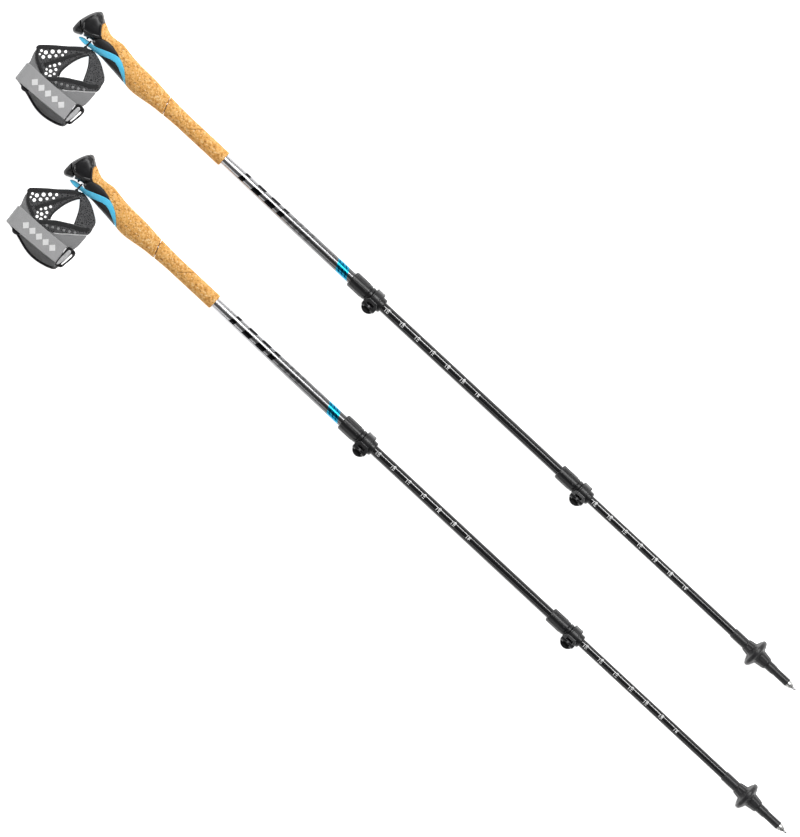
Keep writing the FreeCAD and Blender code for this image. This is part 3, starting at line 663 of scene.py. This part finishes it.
def bar(u0, u1, v0, v1, cuts=6):
    """A thin flat bar, cut along u so that it bends."""
    outline = [(u0 + (u1 - u0) * i / cuts, v0) for i in range(cuts + 1)]
    outline += [(u1 - (u1 - u0) * i / cuts, v1) for i in range(cuts + 1)]
    work = bmesh.new()
    layers = [[work.verts.new((u * MM, v * MM, z * MM)) for u, v in outline]
              for z in (-PRINT_THICK / 2, PRINT_THICK / 2)]
    count = len(outline)
    for i in range(cuts):
        a, b, c, d = i, i + 1, count - 2 - i, count - 1 - i
        work.faces.new([layers[1][k] for k in (a, b, c, d)])
        work.faces.new([layers[0][k] for k in (d, c, b, a)])
    for i in range(count):
        j = (i + 1) % count
        work.faces.new((layers[0][i], layers[0][j], layers[1][j], layers[1][i]))
    mesh = bpy.data.meshes.new("bar")
    work.to_mesh(mesh)
    work.free()
    return mesh


def number(value):
    curve = bpy.data.curves.new("number", "FONT")
    curve.body = str(value)
    curve.size = 4.1 * MM
    curve.align_x = "CENTER"
    curve.align_y = "CENTER"
    curve.resolution_u = 3
    curve.extrude = PRINT_THICK / 2 * MM
    curve.offset = 0.12 * MM
    return modified(curve, [])


for level, lock_x, radius, body in (("middle", UPPER_LOCK_X, MIDDLE_R, "middle_section"),
                                    ("lower", LOWER_LOCK_X, LOWER_R, "lower_section")):
    first = lock_x + LOCK_LENGTH + FIRST_MARK
    last = first + MARK_PITCH * (MARK_COUNT - 1)
    marks = [wrapped(bar(-0.35, 0.35, 0.0, last + 6.0 - (first - 4.0), 2), last + 6.0, radius, LINE_ARC)]
    for i in range(MARK_COUNT):
        x = first + MARK_PITCH * i
        marks.append(wrapped(bar(-5.0, 0.0, -0.35, 0.35), x, radius, LINE_ARC))
        marks.append(wrapped(number(LONGEST - 5 * i), x + 3.9, radius, 0.0, 1.2))
    add(level + "_marks", joined(marks), body, PRINT)


# ---- tip -----------------------------------------------------------------------------------------------------

def basket_relief(point, normal):
    """Sunk windows round the hub, ribs on the disc and facets on the lower cone."""
    along = point.x - BASKET_X
    radius = math.hypot(point.y, point.z)
    angle = math.atan2(point.y, point.z)
    facing = math.hypot(normal.y, normal.z)
    window = max(math.cos(angle * 6), 0.0) ** 0.7
    hub = within(along, -13.2, -6.6, 0.8) * facing
    skirt = within(along, 9.5, 19.0, 1.0) * facing
    ribs = max(math.cos(angle * 12), 0.0) ** 6 * within(radius, 10.5, 15.5, 1.0) * abs(normal.x)
    return -0.55 * window * hub - 0.35 * window * skirt + 0.45 * ribs


add("basket", relief(remeshed(cad_copy("basket"), 0.55, 3), basket_relief), "lower_section", BASKET,
    ["basket"])


# ---- strap ---------------------------------------------------------------------------------------------------

def lift(x, y):
    """How far the strap's panels rise between the hook and the cuff."""
    along = min(max((-16.0 - y) / 66.0, 0.0), 1.0)
    return 3.2 * math.sin(math.pi * along) + 0.5 * math.sin(x * 0.11 + 1.0) * along


def edging(points, width, thickness, z):
    """A flat bound edge of that width along a line, laid on the strap's panels."""
    line = [Vector(p) for p in points]
    sides = ([], [])
    for i, point in enumerate(line):
        ahead = line[min(i + 1, len(line) - 1)] - line[max(i - 1, 0)]
        across = Vector((-ahead.y, ahead.x)).normalized() * width / 2
        for side, place in zip(sides, (point + across, point - across)):
            side.append((place.x, place.y, z + lift(place.x, place.y)))
    return ribbon(*sides, thickness, rows=4, crown=0.5)


WING = [(35.5, -13.4), (29.6, -17.0), (23.4, -21.4), (12.6, -30.6), (0.6, -39.8), (-11.9, -50.4),
        (-16.4, -54.6), (-17.2, -58.4), (-8.4, -69.0), (1.2, -74.0), (10.4, -78.4), (20.0, -80.4),
        (27.2, -77.0), (28.0, -67.0), (25.4, -60.1), (25.7, -50.8), (28.6, -37.7), (33.2, -26.6),
        (38.8, -20.8)]
WING_HOLES = [(-9.4, -56.9, 1.7), (-3.8, -54.9, 2.5), (1.8, -48.3, 2.5), (7.8, -42.5, 2.3),
              (14.0, -37.0, 1.9), (-8.0, -61.8, 1.4), (-2.3, -61.4, 2.3), (3.2, -55.4, 2.3),
              (8.6, -49.2, 1.9), (14.2, -42.9, 1.6), (12.0, -64.0, 1.6), (15.6, -59.3, 2.0),
              (18.9, -53.6, 1.8), (16.7, -68.2, 2.2), (20.4, -62.2, 1.9), (11.6, -70.0, 1.5),
              (14.6, -74.4, 2.0), (20.6, -73.6, 2.2), (22.6, -67.6, 1.6)]
TOP_EDGE = [(35.2, -16.4), (29.6, -18.6), (23.6, -22.8), (12.9, -32.0), (1.2, -41.2), (-11.0, -51.6),
            (-14.9, -55.6), (-15.0, -59.0)]
LEFT_EDGE = [(-14.4, -58.2), (-8.0, -67.2), (1.4, -72.4), (10.8, -76.8)]
RIDGE = [(4.4, -66.4), (9.8, -56.8), (17.9, -42.6), (25.0, -32.2), (31.0, -24.6)]
INNER_PANEL = [(30.6, -23.6), (25.8, -29.0), (18.8, -39.0), (10.6, -53.0), (4.6, -65.0), (7.8, -68.2),
               (12.0, -61.4), (17.0, -52.6), (23.4, -40.6), (29.2, -29.8), (32.4, -24.6)]
THUMB_EDGE = [(39.0, -19.6), (34.6, -26.0), (29.8, -37.2), (27.0, -50.4), (26.6, -60.0), (28.6, -66.6)]
LEG = [(35.5, -13.4), (41.4, -12.6), (54.4, -16.4), (68.0, -24.2), (73.6, -28.6), (76.6, -33.4),
       (77.4, -44.0), (72.0, -50.0), (62.0, -52.0), (56.0, -48.6), (54.0, -44.0), (51.0, -36.6),
       (47.4, -29.8), (43.4, -24.4), (39.6, -20.0)]
LEG_OUTER = [(41.0, -13.6), (54.0, -17.4), (67.4, -25.2), (72.8, -29.4), (75.4, -33.8), (76.2, -43.0)]
LEG_INNER = [(40.4, -20.4), (44.2, -25.0), (48.2, -30.4), (51.8, -37.2), (54.8, -44.4), (56.8, -49.0)]
LOWER_BAND = [(18.0, -77.6), (27.4, -68.4), (35.8, -61.4), (45.5, -55.6), (56.6, -49.2), (66.4, -44.4),
              (74.0, -38.0), (77.6, -37.4), (78.2, -48.0), (66.4, -58.8), (58.7, -64.4), (46.2, -74.6),
              (40.0, -78.0), (28.0, -80.4)]
LOWER_STRIP = [(17.6, -78.4), (27.2, -69.2), (35.8, -62.2), (45.5, -56.5), (56.6, -50.2), (66.4, -45.4),
               (73.6, -39.6), (76.2, -43.6), (68.0, -50.8), (57.8, -55.8), (47.2, -61.6), (37.4, -68.0),
               (29.4, -74.4), (22.0, -79.6)]
STUDS = [(31.5, -74.2), (38.6, -70.9), (45.3, -67.4), (51.8, -63.9), (58.2, -60.4), (64.4, -56.8)]
PATCH = [(45.4, -75.2), (52.0, -70.6), (58.7, -64.6), (66.4, -58.8), (73.0, -53.4), (77.8, -48.8),
         (79.0, -58.0), (78.6, -70.0), (75.0, -76.4), (64.0, -80.4), (50.0, -81.0), (34.0, -81.0),
         (36.0, -77.6)]
PATCH_EDGE = [(44.4, -75.4), (52.0, -70.2), (58.7, -64.2), (66.4, -58.4), (73.0, -52.8), (77.6, -48.8)]
LINING = [(-15.6, -62.0), (-13.6, -61.2), (-7.0, -68.4), (2.0, -72.8), (13.0, -77.6), (13.0, -83.0),
          (-9.0, -83.0), (-11.4, -76.0), (-14.4, -68.0)]
PULL_TAB = [(1.0, -102.0), (1.6, -106.8), (5.0, -110.4), (10.6, -109.9), (14.0, -105.6), (13.4, -102.0)]

wing_holes = [circle(*hole) for hole in WING_HOLES]

soft = []
soft += add("wing", panel(WING, -0.9, 2.2, wing_holes, lift=lift), "strap", MESH,
            ["strap_mesh"])
soft += add("leg", panel(LEG, 0.2, 2.6, lift=lift), "strap", MESH)
soft += add("lower_band", panel(LOWER_BAND, 1.2, 2.2, lift=lift), "strap", MESH)
soft += add("inner_panel", panel(INNER_PANEL, 0.6, 1.8, lift=lift), "strap", BORDER)
soft += add("patch", panel(PATCH, 0.9, 2.0, lift=lift), "strap", FELT)
soft += add("lining", panel(LINING, -1.6, 1.6, lift=lift), "strap", FELT)
soft += add("lower_strip", panel(LOWER_STRIP, 2.2, 1.8, lift=lift), "strap", BORDER)

studs = [panel(circle(x, y, 1.8)[::-1], 2.5, 0.9, voxel=0.3, lift=lift) for x, y in STUDS]
add("studs", joined(studs), "strap", FELT)
add("top_edge", edging(TOP_EDGE, 4.8, 1.8, 0.3), "strap", BORDER)
add("left_edge", edging(LEFT_EDGE, 3.8, 1.6, 0.3), "strap", BORDER)
add("thumb_edge", rail(THUMB_EDGE, 1.5, lift=lift), "strap", BORDER)
add("leg_outer_edge", rail(LEG_OUTER, 1.5, lift=lift), "strap", BORDER)
add("leg_inner_edge", rail(LEG_INNER, 1.3, lift=lift), "strap", BORDER)
add("ridge", rail([(x, y, 1.2) for x, y in RIDGE], 0.7, lift=lift), "strap", BORDER)
add("patch_piping", rail([(x, y, 2.0) for x, y in PATCH_EDGE], 0.55, lift=lift), "strap", PALE_WEB)

# The cuff: one band of webbing from the buckle over the top, round the left end and back along the floor
CUFF_A = [(69.0, -76.6, 4.0), (50.0, -78.0, 5.2), (28.0, -79.0, 5.9), (5.0, -79.6, 5.2), (-6.5, -79.6, 3.4),
          (-11.6, -80.4, -1.5), (-12.2, -82.4, -9.0), (-9.6, -85.6, -15.2), (-3.0, -88.0, -18.0),
          (12.0, -88.0, -18.4), (32.0, -87.0, -18.4), (48.0, -86.5, -18.4), (62.0, -86.0, -17.8),
          (70.5, -85.0, -14.0), (73.6, -83.6, -6.0), (74.0, -82.0, 1.0)]
CUFF_B = [(71.8, -101.6, 4.0), (50.0, -103.3, 5.2), (30.0, -104.4, 5.9), (8.0, -105.4, 5.2),
          (-4.0, -106.0, 3.4), (-9.6, -105.8, -1.5), (-10.0, -105.0, -9.0), (-7.4, -104.4, -15.2),
          (-1.0, -105.5, -18.0), (12.0, -108.8, -18.4), (32.5, -114.8, -18.4), (48.0, -115.8, -18.4),
          (63.0, -113.0, -17.8), (73.5, -109.0, -14.0), (76.0, -105.6, -6.0), (76.5, -102.6, 1.0)]
cuff = add("cuff_band", ribbon(CUFF_A, CUFF_B, 1.6), "strap", GREY_WEB,
           ["wrist_band", "cuff_back"])
FAR = slice(7, 16)
add("cuff_piping", rail(CUFF_B[FAR], 1.7), "strap", BORDER)
add("pull_tab", panel(PULL_TAB, 1.4, 2.0), "strap", DARK_WEB)

# A row of woven diamonds along the near side of the cuff
DIAMONDS = 5
figures = []
for i in range(DIAMONDS):
    share = (i + 0.9) / (DIAMONDS + 0.6)
    cx, cy = 2.0 + 62.0 * share, -92.9 + 2.6 * share
    figures.append(panel([(cx - 5.2, cy), (cx, cy - 5.6), (cx + 5.2, cy), (cx, cy + 5.6)],
                         6.85 - 2.1 * ((cx - 28) / 40) ** 2, 0.7, voxel=0.3, smoothing=2, corners=True))
add("band_figures", joined(figures), "strap", PALE_WEB)

BUCKLE_FRAME = [(70.4, -76.0), (78.6, -73.9), (83.4, -76.2), (84.4, -83.6), (83.0, -93.0), (81.6, -101.0),
                (76.0, -103.4), (72.8, -102.8), (71.6, -92.0)]
BUCKLE_SLOTS = ([(79.6, -79.6, 0.0), (82.0, -80.2, 0.0), (80.4, -97.6, 0.0), (78.4, -98.4, 0.0)],)
BUCKLE_PLATE = [(74.0, -77.8), (77.8, -78.6), (78.6, -87.0), (77.6, -96.0), (75.6, -101.2), (73.6, -101.0),
                (72.8, -93.0), (73.0, -84.0)]
add("buckle_frame", panel(BUCKLE_FRAME, 3.6, 3.0, BUCKLE_SLOTS, voxel=0.4, smoothing=4), "strap", HEAD,
    ["strap_buckle"])
add("buckle_plate", panel(BUCKLE_PLATE, 5.6, 1.8, voxel=0.35, smoothing=5), "strap", SILVER)
add("buckle_slider", rail([(81.0, -75.6, 6.0), (83.2, -84.0, 6.2), (81.6, -94.0, 6.2), (80.4, -100.6, 6.0)], 1.0),
    "strap", LEVER)

LOOP_R = 4.7
loop = [(NECK.x, NECK.y + LOOP_R * math.cos(2 * math.pi * i / 16), LOOP_R * math.sin(2 * math.pi * i / 16))
        for i in range(16)]
sleeve = panel([(27.0, -14.4), (30.6, -14.4), (34.6, -17.0), (33.0, -20.0), (27.6, -19.8)], 0.0, 2.4, voxel=0.4)
add("strap_loop", joined([rail(loop, 0.95, closed=True), sleeve]), "strap", CORD, ["strap_loop"])


# ---- studio --------------------------------------------------------------------------------------------------
VIEW_HEIGHT = 1.0676
CAMERA_DISTANCE = 10.0
AIM = Vector((644.8, -89.5, 0.0)) * MM + ORIGIN["pole1"]
RIGHT = Vector((0.73256, 0.68070, 0.0))
UP = Vector((-0.68070, 0.73256, 0.0))

camera = bpy.data.objects.new("camera", bpy.data.cameras.new("camera"))
bpy.context.scene.collection.objects.link(camera)
camera.data.lens = camera.data.sensor_width * CAMERA_DISTANCE / VIEW_HEIGHT
camera.data.clip_end = 200.0
turn = Matrix((RIGHT, UP, Vector((0, 0, 1)))).transposed().to_4x4()
camera.matrix_world = Matrix.Translation(AIM + Vector((0, 0, CAMERA_DISTANCE))) @ turn
bpy.context.scene.camera = camera

floor_mesh = bpy.data.meshes.new("floor")
REACH = 9.0
floor_mesh.from_pydata([(-REACH, -REACH, 0), (REACH, -REACH, 0), (REACH, REACH, 0), (-REACH, REACH, 0)], [],
                       [(0, 1, 2, 3)])
floor = bpy.data.objects.new("floor", floor_mesh)
bpy.context.scene.collection.objects.link(floor)
floor.location.z = CAD_BOX[0][2] - 0.0003
pale = Paint("pale_floor", Roughness=0.9, Specular_IOR_Level=0.1, Emission_Strength=0.95)
pale.shader.inputs["Emission Color"].default_value = (1, 1, 1, 1)
pale.color(pale.mix(pale.noise(3.0, 3), (0.86, 0.86, 0.86), (0.88, 0.88, 0.88)))
floor_mesh.materials.append(pale.material)


def area_light(name, place, size_x, size_y, energy):
    """A soft rectangular light, aimed at the middle of the floor, with its long side along x."""
    data = bpy.data.lights.new(name, "AREA")
    data.shape = "RECTANGLE"
    data.size = size_x
    data.size_y = size_y
    data.energy = energy
    light = bpy.data.objects.new(name, data)
    bpy.context.scene.collection.objects.link(light)
    light.location = place
    back = Vector(place).normalized()
    side = Vector((1, 0, 0))
    light.matrix_world = Matrix.Translation(Vector(place)) @ Matrix(
        (side, back.cross(side), back)).transposed().to_4x4()


area_light("strip", (0.0, 1.35, 2.1), 5.0, 0.34, 95)
area_light("left_bank", (0.0, -2.6, 1.5), 5.0, 0.8, 24)
area_light("right_bank", (0.0, 3.2, 1.0), 5.0, 0.5, 16)

world = bpy.data.worlds.new("studio")
world.use_nodes = True
world.node_tree.nodes["Background"].inputs["Color"].default_value = (1, 1, 1, 1)
world.node_tree.nodes["Background"].inputs["Strength"].default_value = 0.08
bpy.context.scene.world = world
bpy.context.scene.view_settings.view_transform = "Standard"
